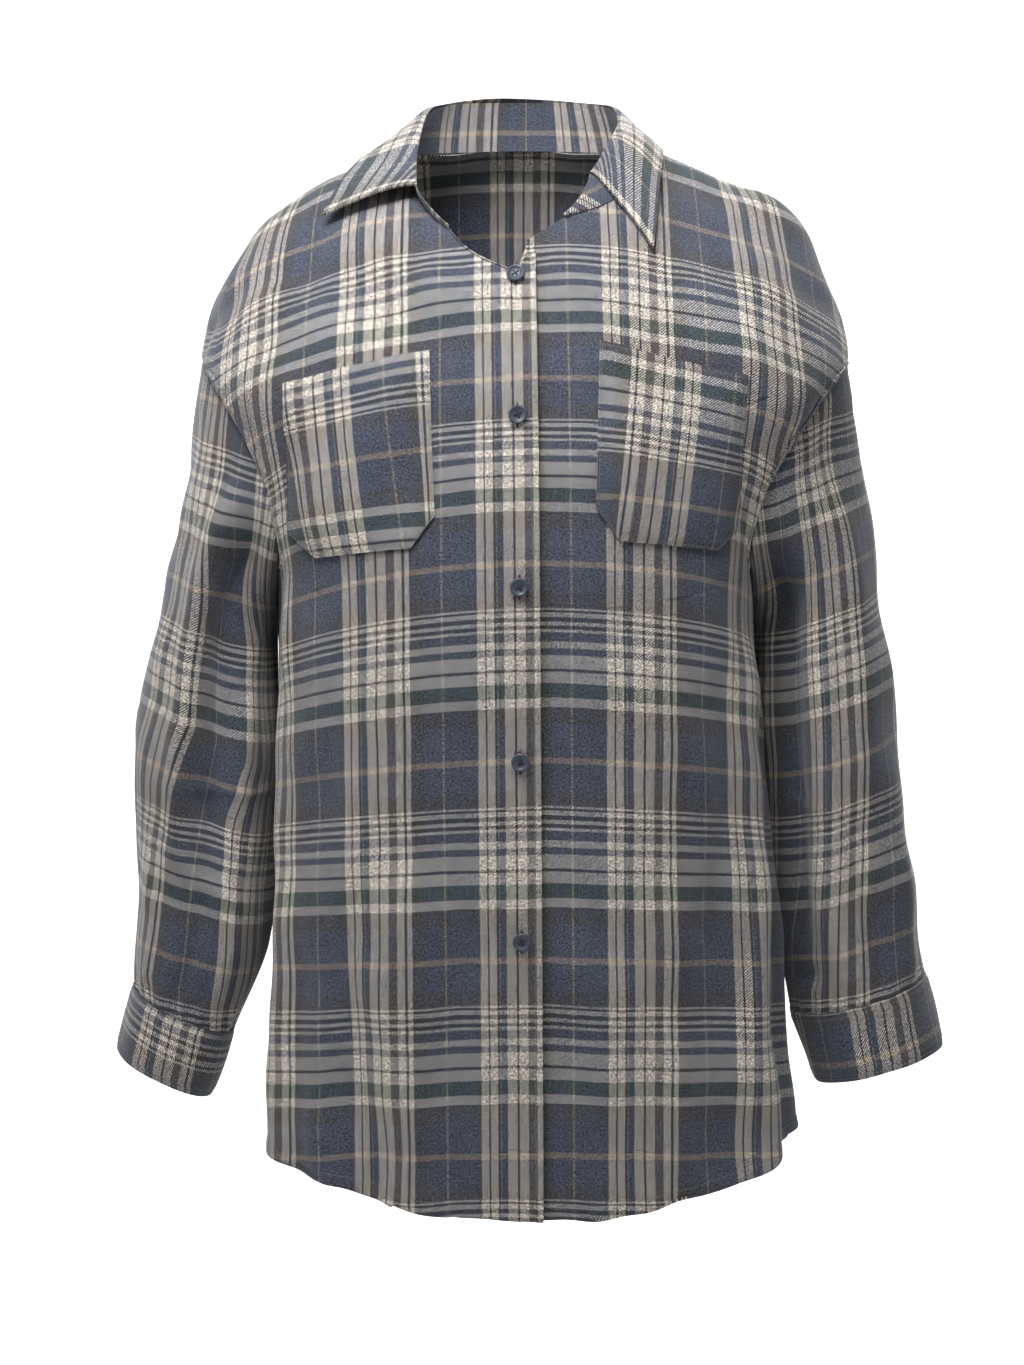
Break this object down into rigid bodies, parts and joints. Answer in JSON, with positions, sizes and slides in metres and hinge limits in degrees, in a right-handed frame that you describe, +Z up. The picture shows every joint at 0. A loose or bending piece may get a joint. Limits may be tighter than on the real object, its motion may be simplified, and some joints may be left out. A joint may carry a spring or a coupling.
{
  "type": "flannel shirt",
  "caption": "Long-sleeved plaid flannel shirt, buttoned below an open neck, with two chest pockets, in the hollow form it has when worn.",
  "frame": {"origin": "midway between the two neck ends of the shoulder seams, where the wearer's shoulders carry the shirt", "axes": "+Z up, the front faces -Y, +X towards the wearer's left"},
  "size_m": [0.6422, 0.2839, 0.8358],
  "materials": {
    "flannel": "brushed navy, cream and green plaid twill",
    "collar": "brushed plaid twill, interlined",
    "pocket": "brushed plaid twill, grain turned round",
    "button": "satin slate navy"
  },
  "bodies": {
    "root": {"back": "flannel", "front_right": "flannel", "front_left": "flannel", "sleeve_right": "flannel", "sleeve_left": "flannel", "cuff_right": "flannel", "cuff_left": "flannel", "collar_stand": "collar", "collar_leaf": "collar", "pocket_right": "pocket", "pocket_left": "pocket", "button_1": "button", "button_2": "button", "button_3": "button", "button_4": "button", "button_5": "button"}
  },
  "joints": []
}
